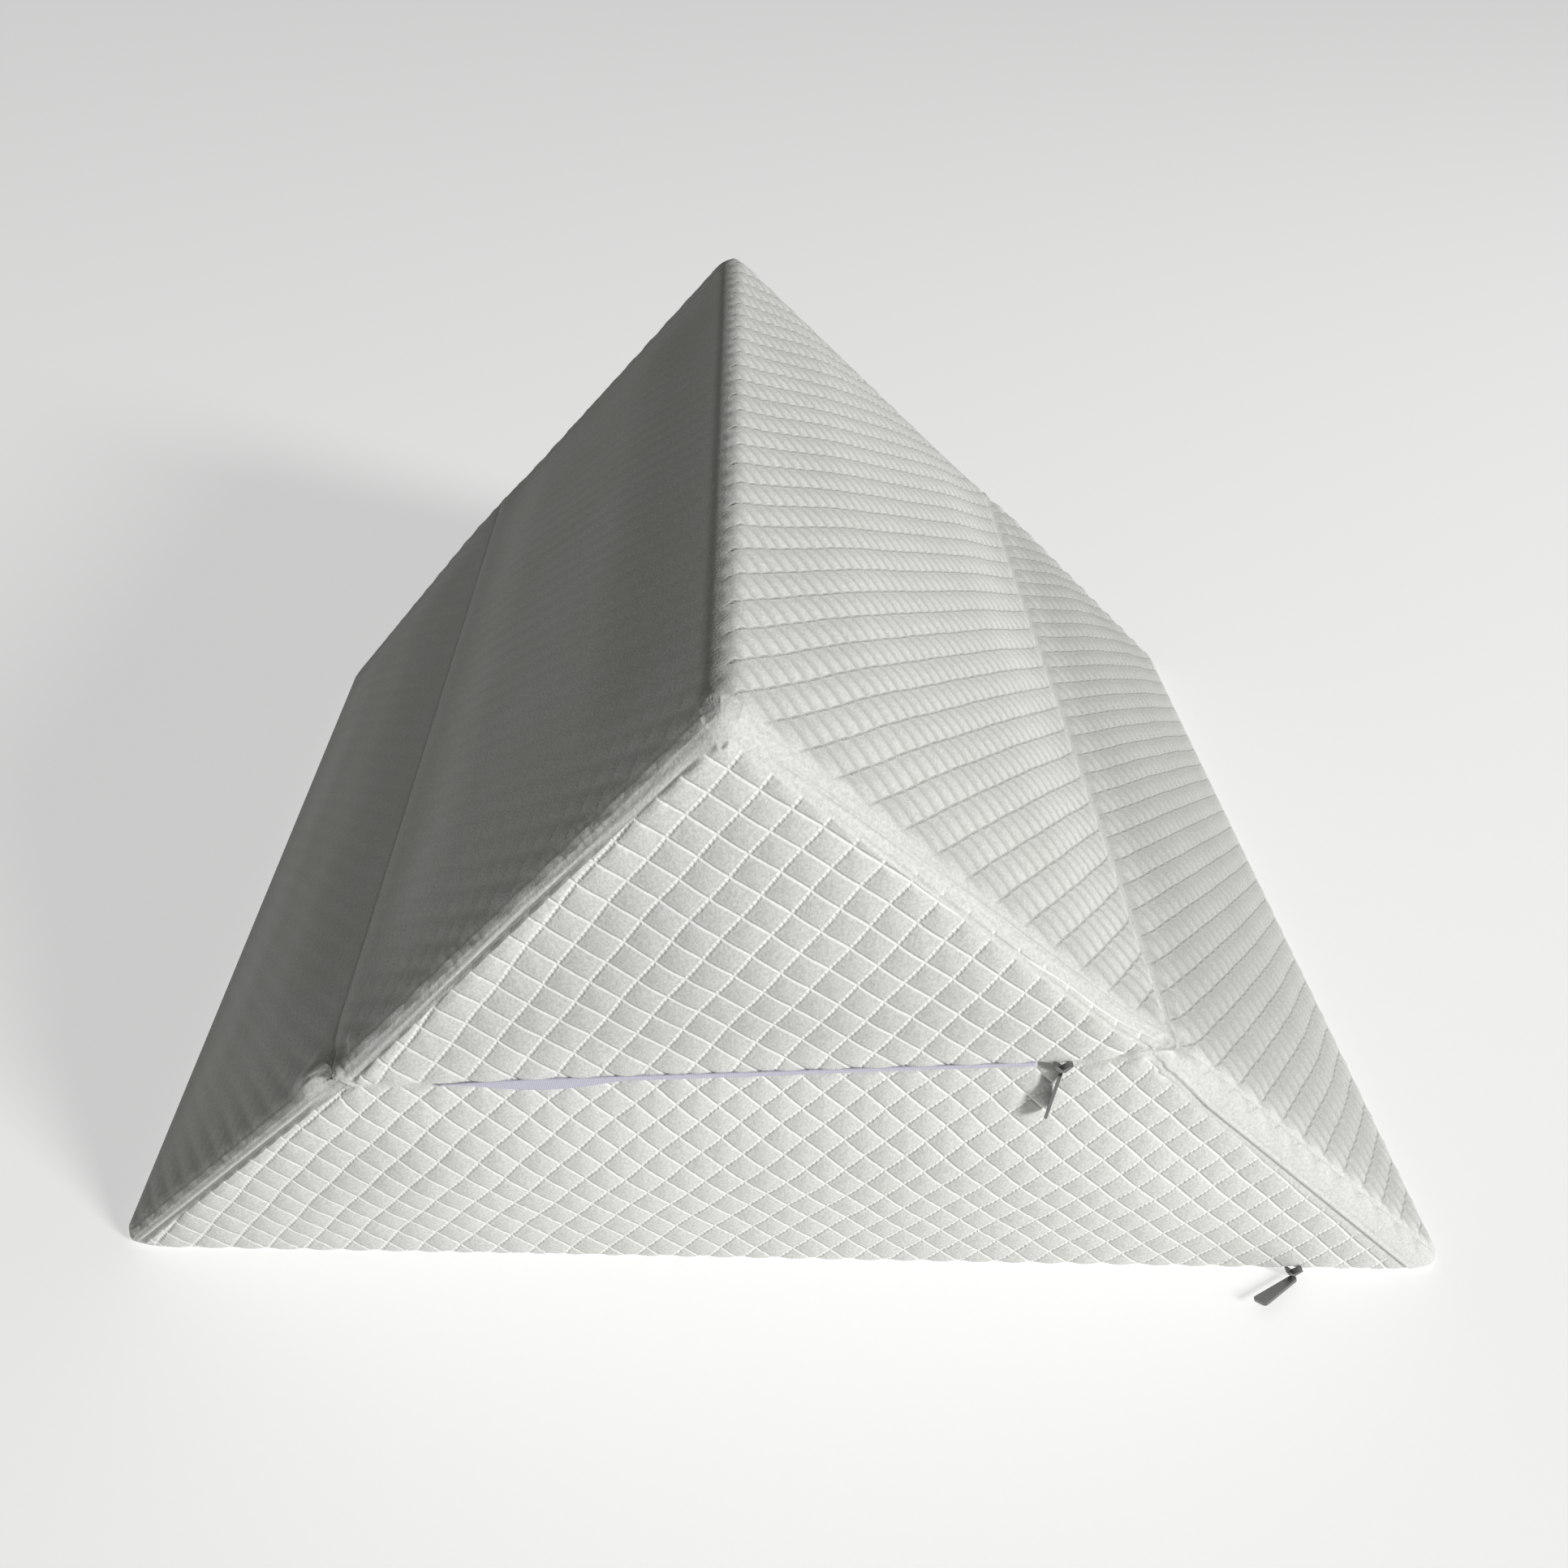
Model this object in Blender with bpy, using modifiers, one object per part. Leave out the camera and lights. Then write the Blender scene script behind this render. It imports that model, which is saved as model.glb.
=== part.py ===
"""Wedge pillow: a ridged foam cushion standing on a trapezoid one, each in its own quilted zip cover.

Metres, +Z up. X runs across the ends, Y from the zipped end (-Y) to the far end,
and the origin is the middle of the base.
"""

import math

import bmesh
import bpy
from mathutils import Matrix, Vector

# Whole pillow
WIDTH = 0.620
LENGTH = 0.514
HEIGHT = 0.310
SPLIT = 0.140  # height of the joint between the two cushions
RIDGE_X = -0.017  # the ridge leans a little to the left
GAP = 0.00035

# How far each rounded edge reaches over its faces
END_ROLL = 0.0115
RIDGE_ROLL = 0.010
SIDE_ROLL = 0.010
BASE_ROLL = 0.006
CREASE_ROLL = 0.0020
CONTACT_ROLL = 0.0015
ROLL_STEPS = 3
SHARP_ANGLE = 40

# The sewn channel along the two slanted sides of each end panel
SEAM_WIDTH = 0.003
SEAM_DEPTH = 0.0012

# Quilting: how far each cell stands up, and how far the panels crown
CELL_RISE = 0.0013
CELL_FADE = 0.012
CROWN = 0.004
CROWN_REACH = 0.070
SMALLEST_CELL = 0.25  # a cut cell under this share of a whole one stays flat
SNAP = 0.0010
WELD = 0.00002
FACING = 0.999  # how squarely a face must look along a panel's normal to belong to it
ROLL_CUT = 0.055  # spacing of the cross cuts that let the rolled edges bend

# Quilt lines of each panel. A pitch is the distance between neighbouring lines, and a turn is the
# direction across them, in degrees from the panel's own level direction: +X on the ends, down the slope.
QUILT = {
    # panel: (pitch A, turn A, pitch B, turn B)
    "upper_end": (0.0124, 47.0, 0.0138, -38.0),
    "lower_end": (0.0126, 43.0, 0.0137, -39.0),
    "upper_slope": (0.0118, 50.0, 0.0136, -40.0),
    "lower_slope": (0.0122, 45.0, 0.0127, -44.0),
}

# Small sags of the real cushions: how far each corner lies from the true prism
CORNER_SHIFT = {
    # (cushion, level, end, side): (x, y, z)
    ("lower", "bottom", "near", "left"): (0.004, 0.017, 0.0),
    ("lower", "bottom", "near", "right"): (0.000, -0.012, 0.0),
    ("lower", "bottom", "far", "left"): (-0.003, -0.006, 0.0),
    ("lower", "bottom", "far", "right"): (-0.003, 0.001, 0.0),
    ("lower", "top", "near", "left"): (-0.002, -0.006, -0.004),
    ("lower", "top", "near", "right"): (0.001, -0.002, 0.003),
    ("lower", "top", "far", "left"): (-0.005, 0.000, 0.0035),
    ("lower", "top", "far", "right"): (0.002, 0.002, 0.0025),
    ("upper", "bottom", "near", "left"): (0.003, -0.001, -0.004),
    ("upper", "bottom", "near", "right"): (-0.002, -0.005, 0.003),
    ("upper", "bottom", "far", "left"): (-0.001, 0.002, 0.0035),
    ("upper", "bottom", "far", "right"): (-0.002, 0.002, 0.0025),
    ("upper", "top", "near", "left"): (0.002, 0.000, 0.0),
    ("upper", "top", "near", "right"): (0.002, 0.000, 0.0),
    ("upper", "top", "far", "left"): (0.002, 0.002, 0.0),
    ("upper", "top", "far", "right"): (0.002, 0.002, 0.0),
}

# Zip trim of the near end
TAPE_LEFT = -0.160
TAPE_RIGHT = 0.104
TAPE_DEPTH = 0.0018
TAPE_THICKNESS = 0.0008
LENS_MIDDLE = -0.098
LENS_HALF = 0.042
LENS_DEPTH = 0.0047
TAPE_COLUMNS = 26
TAPE_ROWS = 2
SLIDER_WIDTH = 0.0078
SLIDER_NECK = 0.0024
SLIDER_HEIGHT = 0.0036
SLIDER_REACH = 0.0028
SLIDER_NOTCH = -0.0004
WING_WIDTH = 0.0015
PULL_LENGTH = 0.0240
PULL_WIDTH = 0.0075
PULL_THICKNESS = 0.0013
PULL_NECK = 0.0036
PULL_ROUNDING = 0.0020
UPPER_SLIDER_X = 0.1136
LOWER_SLIDER_X = 0.2360
LOWER_SLIDER_TUCK = -0.0003
LOWER_SLIDER_LIFT = 0.0010
UPPER_PULL_AIM = (-0.15, -0.10, -0.98)
LOWER_PULL_AIM = (-0.86, -0.51, 0.04)
UPPER_PULL_BROAD = (0.2, 0.6, -0.75)  # the pull's flat side lies along this direction
LOWER_PULL_BROAD = (-0.4, 0.75, -0.5)

# Colours (linear), roughness and metallic value of each finish
FINISHES = {
    "quilted_knit": ((0.70, 0.70, 0.67, 1.0), 0.9, 0.0),
    "zip_tape": ((0.56, 0.55, 0.72, 1.0), 0.8, 0.0),
    "zip_metal": ((0.35, 0.36, 0.36, 1.0), 0.3, 1.0),
}

LEVELS = {"upper": (SPLIT + GAP / 2, HEIGHT), "lower": (0.0, SPLIT - GAP / 2)}


def clear_scene():
    for obj in list(bpy.data.objects):
        bpy.data.objects.remove(obj)


def finish_of(name):
    """The material of this name, made the first time it is asked for."""
    material = bpy.data.materials.get(name)
    if material:
        return material
    colour, roughness, metallic = FINISHES[name]
    material = bpy.data.materials.new(name)
    material.use_nodes = True
    shader = material.node_tree.nodes["Principled BSDF"]
    shader.inputs["Base Color"].default_value = colour
    shader.inputs["Roughness"].default_value = roughness
    shader.inputs["Metallic"].default_value = metallic
    material.diffuse_color = colour
    return material


def side_x(side, height):
    """X of the left (side -1) or right (side +1) slope at a height above the base."""
    rise = height / HEIGHT
    return side * WIDTH / 2 * (1 - rise) + RIDGE_X * rise


def smooth_step(value):
    value = min(max(value, 0.0), 1.0)
    return value * value * (3 - 2 * value)


def settled(cushion, point):
    """Where a point of the true prism lies once its cushion's corners have sagged."""
    low, high = LEVELS[cushion]
    left = side_x(-1, point.z)
    right = side_x(1, point.z)
    across = (point.x - left) / max(right - left, END_ROLL)
    across = min(max(across, 0.0), 1.0)
    along = point.y / LENGTH + 0.5
    up = (point.z - low) / (high - low)
    shift = Vector()
    for (owner, level, end, side), corner in CORNER_SHIFT.items():
        if owner != cushion:
            continue
        share = up if level == "top" else 1 - up
        share *= along if end == "far" else 1 - along
        share *= across if side == "right" else 1 - across
        shift += Vector(corner) * share
    return point + shift


def roll_reach(edge, cushion):
    """How far the rounding of this edge of the true prism reaches over its faces."""
    low, high = LEVELS[cushion]
    start, end = (vert.co for vert in edge.verts)
    level = (start.z + end.z) / 2
    on_contact = abs(level - (low if cushion == "upper" else high)) < GAP
    on_end = abs(start.y - end.y) < GAP
    if on_end and abs(start.z - end.z) > GAP:
        return END_ROLL
    if on_end:
        return CONTACT_ROLL if on_contact else BASE_ROLL
    if on_contact:
        return CREASE_ROLL
    return RIDGE_ROLL if cushion == "upper" else SIDE_ROLL


def rolled_prism(cushion):
    """The cushion's prism with its edges rounded, as a bmesh."""
    low, high = LEVELS[cushion]
    bm = bmesh.new()
    bmesh.ops.create_cube(bm, size=1.0)
    for vert in bm.verts:
        height = low if vert.co.z < 0 else high
        vert.co = (side_x(2 * vert.co.x, height), vert.co.y * LENGTH, height)
    bmesh.ops.remove_doubles(bm, verts=bm.verts, dist=GAP)
    bmesh.ops.recalc_face_normals(bm, faces=bm.faces)
    weight = bm.edges.layers.float.new("bevel_weight_edge")
    for edge in bm.edges:
        edge[weight] = roll_reach(edge, cushion) / END_ROLL
    mesh = bpy.data.meshes.new("blank")
    bm.to_mesh(mesh)
    bm.free()
    blank = bpy.data.objects.new("blank", mesh)
    bpy.context.scene.collection.objects.link(blank)
    bevel = blank.modifiers.new("rolled edges", "BEVEL")
    bevel.limit_method = "WEIGHT"
    bevel.width = END_ROLL
    bevel.segments = ROLL_STEPS
    graph = bpy.context.evaluated_depsgraph_get()
    bm = bmesh.new()
    bm.from_object(blank, graph)
    bpy.data.objects.remove(blank)
    bpy.data.meshes.remove(mesh)
    return bm


def panels_of(cushion):
    """(kind, outward normal, level direction, mirror) of the four quilted panels."""
    found = []
    for end in (-1, 1):
        found.append((cushion + "_end", Vector((0, end, 0)), Vector((-end, 0, 0)), 1))
    for side in (-1, 1):
        foot = Vector((side_x(side, 0), 0, 0))
        down = (foot - Vector((RIDGE_X, 0, HEIGHT))).normalized()
        normal = Vector((-down.z * side, 0, down.x * side))
        found.append((cushion + "_slope", normal, down, side))
    return found


def largest_face(bm, normal):
    facing = [face for face in bm.faces if face.normal.dot(normal) > FACING]
    return max(facing, key=lambda face: face.calc_area())


def slice_faces(bm, faces, point, normal, snap=SNAP):
    """Cuts these faces along a plane and keeps both sides."""
    edges = {edge for face in faces for edge in face.edges}
    verts = {vert for face in faces for vert in face.verts}
    geometry = [*faces, *edges, *verts]
    bmesh.ops.bisect_plane(bm, geom=geometry, dist=snap, plane_co=point, plane_no=normal)


def outline_of(face):
    """(point, inward direction) of each side of a flat face."""
    middle = face.calc_center_median()
    sides = []
    for edge in face.edges:
        start, end = (vert.co for vert in edge.verts)
        inward = face.normal.cross(end - start).normalized()
        if inward.dot(middle - start) < 0:
            inward = -inward
        sides.append((start.copy(), inward))
    return sides


def stitch_sides(bm, end, slopes):
    """Sinks the sewn channels beside the slanted sides of an end panel, and returns what lies between."""
    panel = largest_face(bm, end)
    for slope in slopes:
        side = max(vert.co.dot(slope) for vert in panel.verts)
        for depth in (SEAM_WIDTH / 2, SEAM_WIDTH):
            slice_faces(bm, [panel], slope * (side - depth), slope, WELD)
            panel = largest_face(bm, end)
        for vert in bm.verts:
            in_panel = vert.co.dot(end) > LENGTH / 2 - WELD
            if in_panel and abs(vert.co.dot(slope) - side + SEAM_WIDTH / 2) < WELD:
                vert.co -= end * SEAM_DEPTH
    return panel


def quilt(bm, index, kind, normal, level, mirror):
    """Cuts the panel marked with this material index into cells along its quilt lines, and raises them."""
    pitch_a, turn_a, pitch_b, turn_b = QUILT[kind]
    upright = normal.cross(level) if abs(normal.y) > 0.5 else Vector((0, 1, 0))
    middle = Vector((0, normal.y * LENGTH / 2, SPLIT))
    whole_cell = pitch_a * pitch_b / math.sin(math.radians(turn_a - turn_b))
    for pitch, turn in ((pitch_a, turn_a), (pitch_b, turn_b)):
        angle = math.radians(turn * mirror)
        across = level * math.cos(angle) + upright * math.sin(angle)
        count = math.ceil((WIDTH + LENGTH) / 2 / pitch)
        for step in range(-count, count + 1):
            panel = [face for face in bm.faces if face.material_index == index]
            slice_faces(bm, panel, middle + across * pitch * (step + 0.5), across)
    panel = [face for face in bm.faces if face.material_index == index]
    cells = [face for face in panel if face.calc_area() > SMALLEST_CELL * whole_cell]
    tops = bmesh.ops.poke(bm, faces=cells, offset=0.0, center_mode="MEAN")["verts"]
    shares = {}
    for top in tops:
        area = sum(face.calc_area() for face in top.link_faces)
        shares[top] = math.sqrt(min(area / whole_cell, 1.0))
    return shares


def crown_panel(panel_verts, normal, outline, shares):
    """Lifts a panel between its seams, and each cell's middle above its quilt lines."""
    for vert in panel_verts:
        reaches = [max((vert.co - point).dot(inward), 0.0) for point, inward in outline]
        lift = CROWN
        for reach in reaches:
            lift *= smooth_step(reach / CROWN_REACH)
        fade = min(min(reaches) / CELL_FADE, 1.0)
        vert.co += normal * (lift + CELL_RISE * shares.get(vert, 0.0) * fade)


def cushion_mesh(cushion):
    """The filled cushion: rolled edges, seam channels, quilted and crowned panels, sagging corners."""
    bm = rolled_prism(cushion)
    slopes = [normal for kind, normal, _, _ in panels_of(cushion) if kind.endswith("slope")]
    panels = []
    for index, (kind, normal, level, mirror) in enumerate(panels_of(cushion), start=1):
        if kind.endswith("end"):
            face = stitch_sides(bm, normal, slopes)
        else:
            face = largest_face(bm, normal)
        face.material_index = index
        panels.append((index, kind, normal, level, mirror, outline_of(face)))
    for axis, half in ((Vector((1, 0, 0)), WIDTH / 2), (Vector((0, 1, 0)), LENGTH / 2)):
        count = round(2 * half / ROLL_CUT)
        for step in range(1, count):
            point = axis * (2 * step / count - 1) * half
            slice_faces(bm, [face for face in bm.faces if face.material_index == 0], point, axis)
    for index, kind, normal, level, mirror, outline in panels:
        shares = quilt(bm, index, kind, normal, level, mirror)
        faces = [face for face in bm.faces if face.material_index == index]
        crown_panel({vert for face in faces for vert in face.verts}, normal, outline, shares)
    bmesh.ops.triangulate(bm, faces=bm.faces)
    for vert in bm.verts:
        vert.co = settled(cushion, vert.co)
    for face in bm.faces:
        face.material_index = 0
    return bm


def add_object(bm, name, finish, collection, matrix=None):
    """Makes a smooth-shaded object of a finished bmesh."""
    mesh = bpy.data.meshes.new(name)
    bm.to_mesh(mesh)
    bm.free()
    mesh.materials.append(finish_of(finish))
    mesh.shade_smooth()
    mesh.set_sharp_from_angle(angle=math.radians(SHARP_ANGLE))
    obj = bpy.data.objects.new(name, mesh)
    if matrix:
        obj.matrix_world = matrix
    collection.objects.link(obj)


def near_face_y(cushion, x, z):
    """Y of the cushion's near end at this place, before its quilting."""
    return settled(cushion, Vector((x, -LENGTH / 2, z))).y


def joint_height(x):
    """Height of the joint between the cushions along the near end."""
    return settled("lower", Vector((x, -LENGTH / 2, SPLIT))).z


def zip_tape():
    """The lilac edge of the upper zip, which hangs over the lower cushion in a shallow lens."""
    bm = bmesh.new()
    bmesh.ops.create_grid(bm, x_segments=TAPE_COLUMNS, y_segments=TAPE_ROWS, size=0.5)
    for vert in bm.verts:
        x = TAPE_LEFT + (vert.co.x + 0.5) * (TAPE_RIGHT - TAPE_LEFT)
        lens = max(1 - ((x - LENS_MIDDLE) / LENS_HALF) ** 2, 0.0)
        depth = TAPE_DEPTH + LENS_DEPTH * smooth_step(lens)
        top = joint_height(x)
        z = top - CONTACT_ROLL / 2 - depth * (0.5 - vert.co.y)
        y = near_face_y("lower", x, min(z, SPLIT)) - GAP - TAPE_THICKNESS
        vert.co = (x, y - CELL_RISE / 2 * (0.5 - vert.co.y) * smooth_step(lens), z)
    bmesh.ops.recalc_face_normals(bm, faces=bm.faces)
    bmesh.ops.solidify(bm, geom=bm.faces[:], thickness=TAPE_THICKNESS)
    bmesh.ops.recalc_face_normals(bm, faces=bm.faces)
    return bm


def zip_slider(name, collection, location):
    """A small cast slider: two wings that close to a neck. Its origin is the middle of its back."""
    curve = bpy.data.curves.new(name, "CURVE")
    curve.dimensions = "2D"
    curve.fill_mode = "BOTH"
    curve.extrude = SLIDER_REACH / 2
    wing = SLIDER_WIDTH / 2
    top = SLIDER_HEIGHT / 2
    outline = (
        (-wing, top), (WING_WIDTH - wing, top), (0.0, SLIDER_NOTCH), (wing - WING_WIDTH, top),
        (wing, top), (SLIDER_NECK / 2, -top), (-SLIDER_NECK / 2, -top),
    )
    spline = curve.splines.new("POLY")
    spline.points.add(len(outline) - 1)
    spline.use_cyclic_u = True
    for point, (x, z) in zip(spline.points, outline):
        point.co = (x, z, 0.0, 1.0)
    curve.materials.append(finish_of("zip_metal"))
    obj = bpy.data.objects.new(name, curve)
    obj.location = Vector(location) - Vector((0, SLIDER_REACH / 2, 0))
    obj.rotation_euler = (math.radians(90), 0, 0)
    collection.objects.link(obj)


def zip_pull():
    """A flat pull with a rounded tip that hangs along -Z from its origin, its width along Y."""
    bm = bmesh.new()
    bmesh.ops.create_cube(bm, size=1.0)
    for vert in bm.verts:
        width = PULL_WIDTH if vert.co.z < 0 else PULL_NECK
        vert.co = (vert.co.x * PULL_THICKNESS, vert.co.y * width, (vert.co.z - 0.5) * PULL_LENGTH)
    corners = [
        edge for edge in bm.edges
        if abs(edge.verts[0].co.x - edge.verts[1].co.x) > PULL_THICKNESS / 2
    ]
    bmesh.ops.bevel(
        bm, geom=corners, offset=PULL_ROUNDING, offset_type="OFFSET", segments=4,
        profile=0.5, affect="EDGES", clamp_overlap=True, material=-1,
    )
    return bm


def aimed(location, direction, broad):
    """Places a piece with its -Z along a direction and its Y as near as it can be to another."""
    down = -Vector(direction).normalized()
    broad = Vector(broad)
    broad = (broad - down * broad.dot(down)).normalized()
    turn = Matrix((broad.cross(down), broad, down)).transposed()
    return Matrix.LocRotScale(Vector(location), turn.to_quaternion(), None)


def build():
    clear_scene()
    collection = bpy.data.collections.new("wedge_pillow")
    bpy.context.scene.collection.children.link(collection)
    add_object(cushion_mesh("upper"), "upper_cushion", "quilted_knit", collection)
    add_object(cushion_mesh("lower"), "lower_cushion", "quilted_knit", collection)
    add_object(zip_tape(), "upper_zip_tape", "zip_tape", collection)

    # The upper slider sits in the joint, and its pull hangs down, seen edge on.
    x = UPPER_SLIDER_X
    y = near_face_y("upper", x, SPLIT) - GAP
    z = joint_height(x)
    zip_slider("upper_zip_slider", collection, (x, y, z))
    neck = (x, y - SLIDER_REACH / 2, z - SLIDER_HEIGHT / 2 - GAP)
    place = aimed(neck, UPPER_PULL_AIM, UPPER_PULL_BROAD)
    add_object(zip_pull(), "upper_zip_pull", "zip_metal", collection, place)

    # The lower slider is tucked under the rolled bottom edge, and its pull points out along the floor.
    x = LOWER_SLIDER_X
    y = near_face_y("lower", x, 0.0) + LOWER_SLIDER_TUCK
    z = SLIDER_HEIGHT / 2 + LOWER_SLIDER_LIFT
    zip_slider("lower_zip_slider", collection, (x, y, z))
    neck = (x, y - SLIDER_REACH - GAP - PULL_THICKNESS, z)
    place = aimed(neck, LOWER_PULL_AIM, LOWER_PULL_BROAD)
    add_object(zip_pull(), "lower_zip_pull", "zip_metal", collection, place)


build()
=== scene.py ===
# %% [markdown]
# # Wedge pillow
# Two foam cushions in quilted zip covers: a ridged one lies on a trapezoid one. This lesson loads the
# plain solids as a fixed frame and builds the cloth that the eye sees in the space they hold.

# %% Load the frame
import math

import bmesh
import bpy
import numpy as np
from mathutils import Matrix, Vector


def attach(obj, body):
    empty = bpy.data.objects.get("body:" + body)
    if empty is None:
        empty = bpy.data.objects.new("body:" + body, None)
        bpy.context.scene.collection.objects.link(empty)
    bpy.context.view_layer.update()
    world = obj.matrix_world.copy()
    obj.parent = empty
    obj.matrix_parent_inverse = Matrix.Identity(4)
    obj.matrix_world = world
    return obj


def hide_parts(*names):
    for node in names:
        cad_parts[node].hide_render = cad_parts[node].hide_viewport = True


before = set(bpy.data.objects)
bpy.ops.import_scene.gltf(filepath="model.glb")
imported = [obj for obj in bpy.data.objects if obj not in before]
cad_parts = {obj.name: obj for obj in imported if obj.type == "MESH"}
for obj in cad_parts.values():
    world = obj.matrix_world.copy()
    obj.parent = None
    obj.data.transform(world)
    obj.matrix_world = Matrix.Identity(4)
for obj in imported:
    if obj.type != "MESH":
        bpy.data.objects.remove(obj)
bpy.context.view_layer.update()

# %% [markdown]
# ## Sizes
# Foam for a wedge is cut from a block by straight wires, so the bare shape is a true prism: a base, a
# height, a length and a ridge. Stating the prism once keeps every seam and quilt line on one geometry.

# %% Sizes of the prism
WIDTH = 0.620
LENGTH = 0.514
HEIGHT = 0.310
SPLIT = 0.140
RIDGE_X = -0.017
GAP = 0.00035
LEVELS = {"upper": (SPLIT + GAP / 2, HEIGHT), "lower": (0.0, SPLIT - GAP / 2)}

END_ROLL = 0.0115
RIDGE_ROLL = 0.010
SIDE_ROLL = 0.010
BASE_ROLL = 0.006
CREASE_ROLL = 0.0020
CONTACT_ROLL = {"upper": 0.0008, "lower": 0.0030}
ROLL_STEPS = 6


def side_x(side, height):
    """X of the left (side -1) or right (side +1) slope at a height above the base."""
    rise = height / HEIGHT
    return side * WIDTH / 2 * (1 - rise) + RIDGE_X * rise


print("slope length, mm:", round(1000 * math.hypot(side_x(1, 0) - RIDGE_X, HEIGHT)))

# %% [markdown]
# ## Where soft corners settle
# A used foam block is never quite a prism: its corners sink and spread by a few millimetres. Moving
# each corner one by one and sharing that move over the block by its distance to the eight corners keeps
# the faces smooth, which dragging single points would not. Where the two cushions press together their
# soft covers meet in one line, so beside the joint each is eased half way to the other.

# %% Corner sags
CORNER_SHIFT = {
    # (cushion, level, end, side): (x, y, z)
    ("lower", "bottom", "near", "left"): (0.004, 0.017, 0.0),
    ("lower", "bottom", "near", "right"): (0.000, -0.012, 0.0),
    ("lower", "bottom", "far", "left"): (-0.003, -0.006, 0.0),
    ("lower", "bottom", "far", "right"): (-0.003, 0.001, 0.0),
    ("lower", "top", "near", "left"): (-0.002, -0.006, -0.004),
    ("lower", "top", "near", "right"): (0.001, -0.002, 0.003),
    ("lower", "top", "far", "left"): (-0.005, 0.000, 0.0035),
    ("lower", "top", "far", "right"): (0.002, 0.002, 0.0025),
    ("upper", "bottom", "near", "left"): (0.003, -0.001, -0.004),
    ("upper", "bottom", "near", "right"): (-0.002, -0.005, 0.003),
    ("upper", "bottom", "far", "left"): (-0.001, 0.002, 0.0035),
    ("upper", "bottom", "far", "right"): (-0.002, 0.002, 0.0025),
    ("upper", "top", "near", "left"): (0.002, 0.000, 0.0),
    ("upper", "top", "near", "right"): (0.002, 0.000, 0.0),
    ("upper", "top", "far", "left"): (0.002, 0.002, 0.0),
    ("upper", "top", "far", "right"): (0.002, 0.002, 0.0),
}


JOINT_REACH = 0.016  # how far above and below the joint the covers are eased together


def settled(cushion, points):
    """Where points of the true prism lie once the cushion's corners have sagged."""
    low, high = LEVELS[cushion]
    left = side_x(-1, points[:, 2])
    right = side_x(1, points[:, 2])
    across = np.clip((points[:, 0] - left) / np.maximum(right - left, END_ROLL), 0, 1)
    along = points[:, 1] / LENGTH + 0.5
    up = (points[:, 2] - low) / (high - low)
    moved = points.copy()
    for (owner, level, end, side), corner in CORNER_SHIFT.items():
        if owner != cushion:
            continue
        share = up if level == "top" else 1 - up
        share = share * (along if end == "far" else 1 - along)
        share = share * (across if side == "right" else 1 - across)
        moved += share[:, None] * np.array(corner)
    return moved


def joined(cushion, points):
    """The settled cushion, eased onto the one joint line that the two covers share."""
    at_joint = points.copy()
    at_joint[:, 2] = SPLIT
    other = "lower" if cushion == "upper" else "upper"
    apart = settled(other, at_joint) - settled(cushion, at_joint)
    near = np.exp(-(((points[:, 2] - SPLIT) / JOINT_REACH) ** 2))
    moved = settled(cushion, points)
    moved[:, :2] += (near[:, None] * apart / 2)[:, :2]
    return moved


print("corners that settle:", len(CORNER_SHIFT))

# %% [markdown]
# ## Camera
# The photograph shows the near end almost square on, from a little above the ridge. The lens and the
# place were solved together from the prism's corners, so the perspective is the photograph's own.

# %% Camera
right = Vector((0.9997, -0.0251, -0.0011))
up = Vector((0.0161, 0.6068, 0.7947))
forward = Vector((0.0193, 0.7944, -0.6070))
camera = bpy.data.objects.new("camera", bpy.data.cameras.new("camera"))
bpy.context.scene.collection.objects.link(camera)
turn = Matrix((right, up, -forward)).transposed().to_quaternion()
camera.matrix_world = Matrix.LocRotScale(Vector((-0.0030, -0.5946, 0.5364)), turn, None)
camera.data.sensor_width = 36.0
camera.data.lens = 36.0 * 1595 / 1932
bpy.context.scene.camera = camera
print("lens, mm:", round(camera.data.lens, 1))

# %% [markdown]
# ## Light
# The near end and the right slope are bright and the left slope lies in deep shade, so one round
# softbox of a metre stands five metres off at the front right, and almost nothing fills the other
# side. At that distance the light weakens only a little towards the far end, as in the photograph.

# %% Key lamp, fill and floor
KEY_DIRECTION = Vector((0.60, -0.45, 0.34)).normalized()
KEY_DISTANCE = 5.0
KEY_WIDTH = 1.05
KEY_STRENGTH = 2.65  # light that reaches a surface facing the lamp, in W/m2
FILL_STRENGTH = 0.075
FLOOR_HALF = 6.0


def linear(hex_colour):
    """An sRGB hex colour as linear red, green and blue."""
    channels = [int(hex_colour[i : i + 2], 16) / 255 for i in (1, 3, 5)]
    return tuple(c / 12.92 if c <= 0.04045 else ((c + 0.055) / 1.055) ** 2.4 for c in channels)


def add(tree, kind, values=None, links=None, **settings):
    """Adds a node with its settings, its sockets' values and its incoming links."""
    made = tree.nodes.new(kind)
    for name, value in settings.items():
        setattr(made, name, value)
    for socket, value in (values or {}).items():
        made.inputs[socket].default_value = value
    for socket, source in (links or {}).items():
        tree.links.new(source, made.inputs[socket])
    return made


key = bpy.data.objects.new("key_lamp", bpy.data.lights.new("key_lamp", "AREA"))
key.data.shape = "DISK"
key.data.size = KEY_WIDTH
key.data.energy = KEY_STRENGTH * math.pi * KEY_DISTANCE**2
key.location = KEY_DIRECTION * KEY_DISTANCE
key.rotation_euler = KEY_DIRECTION.to_track_quat("Z", "Y").to_euler()
bpy.context.scene.collection.objects.link(key)

world = bpy.data.worlds.new("studio")
world.use_nodes = True
world.node_tree.nodes["Background"].inputs["Color"].default_value = (*linear("#F4F7EC"), 1)
world.node_tree.nodes["Background"].inputs["Strength"].default_value = FILL_STRENGTH
bpy.context.scene.world = world
bpy.context.scene.view_settings.view_transform = "Standard"

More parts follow.
